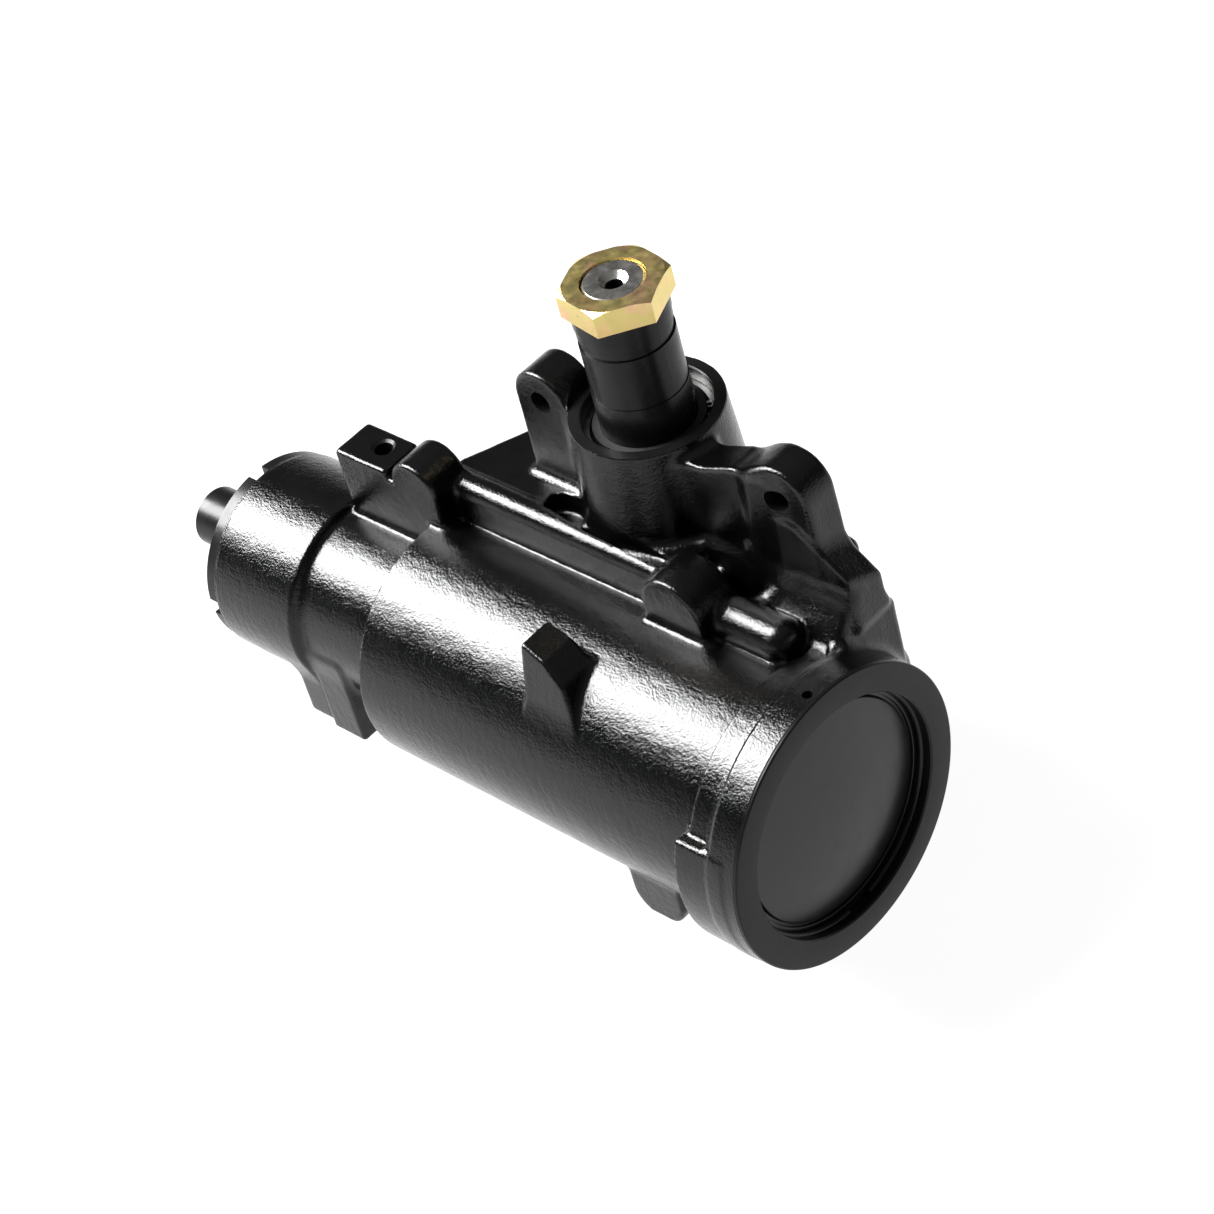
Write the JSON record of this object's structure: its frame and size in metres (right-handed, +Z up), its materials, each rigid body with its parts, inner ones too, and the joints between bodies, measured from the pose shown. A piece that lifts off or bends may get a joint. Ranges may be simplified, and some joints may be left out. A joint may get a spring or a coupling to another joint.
{
  "type": "worm gearbox",
  "caption": "Recirculating-ball steering gearbox with a hydraulic rack-piston: a worm and ball nut drive a toothed sector shaft held by a nut.",
  "frame": {"origin": "on the sector shaft's axis, at the foot of the arm seat, where the arm's lower face comes to rest", "axes": "+Z up the sector shaft towards its nut, +X along the worm from the input stub to the end plug, +Y from the worm towards the sector shaft"},
  "size_m": [0.3093, 0.1535, 0.2248],
  "materials": {
    "black_paint": "gloss black paint over a cast skin",
    "satin_black": "satin black",
    "satin_shaft": "dark satin ground steel",
    "bright_steel": "bright turned steel",
    "bearing_steel": "ground and hardened steel",
    "zinc_yellow": "yellow passivated zinc",
    "brass": "plain",
    "rubber": "matt",
    "gasket": "matt",
    "ptfe": "matt filled PTFE"
  },
  "bodies": {
    "gear_case": {"housing": "black_paint", "end_plug": "satin_black", "end_plug_seal": "rubber", "end_plug_retaining_ring": "satin_black", "side_cover": "black_paint", "side_cover_gasket": "gasket", "side_cover_bolts": "satin_black", "side_cover_bushing": "brass", "preload_adjuster_screw": "bright_steel", "adjuster_lock_nut": "zinc_yellow", "sector_needle_bearing": "bearing_steel", "sector_pressure_seal": "rubber", "sector_backup_washer": "bright_steel", "sector_dust_seal": "rubber", "sector_retaining_ring": "satin_black", "lower_thrust_bearing": "bearing_steel", "upper_thrust_bearing": "bearing_steel", "adjuster_plug": "satin_black", "adjuster_plug_seal": "rubber", "adjuster_lock_ring": "satin_black", "stub_needle_bearing": "bearing_steel", "stub_shaft_seal": "rubber", "stub_dust_seal": "rubber", "stub_retaining_ring": "bright_steel", "port_seats": "brass"},
    "sector": {"sector_shaft": "satin_shaft", "shaft_nut": "zinc_yellow", "shaft_lock_washer": "satin_black"},
    "piston": {"rack_piston": "bearing_steel", "piston_ring": "ptfe", "rack_piston_plug": "bright_steel", "recirculating_balls": "bright_steel", "ball_return_guide": "bright_steel", "ball_guide_clamp": "bright_steel", "ball_guide_screws": "satin_black"},
    "worm_screw": {"worm": "bearing_steel", "torsion_bar": "bearing_steel", "worm_pin": "bright_steel", "valve_body": "bearing_steel", "valve_body_rings": "ptfe"},
    "input": {"stub_shaft": "satin_shaft", "spool_valve": "bearing_steel"}
  },
  "joints": [
    {"name": "worm_spin", "type": "hinge", "parent": "gear_case", "child": "worm_screw", "pos_m": [0, -0.05, -0.106], "axis": [1, 0, 0], "range_deg": [-515, 515]},
    {"name": "piston_slide", "type": "slide", "parent": "gear_case", "child": "piston", "axis": [1, 0, 0], "range_m": [-0.0172, 0.0172]},
    {"name": "sector_swing", "type": "hinge", "parent": "gear_case", "child": "sector", "pos_m": [0, 0, 0], "axis": [0, 0, 1], "range_deg": [-38, 38]},
    {"name": "valve_twist", "type": "hinge", "parent": "worm_screw", "child": "input", "pos_m": [0, -0.05, -0.106], "axis": [1, 0, 0], "range_deg": [-7, 7], "stiffness_Nm_per_rad": 60}
  ],
  "couplings": [
    {"joint": "piston_slide", "follows": "worm_spin", "m_per_rad": -0.0019099},
    {"joint": "sector_swing", "follows": "worm_spin", "ratio": -0.073456}
  ]
}
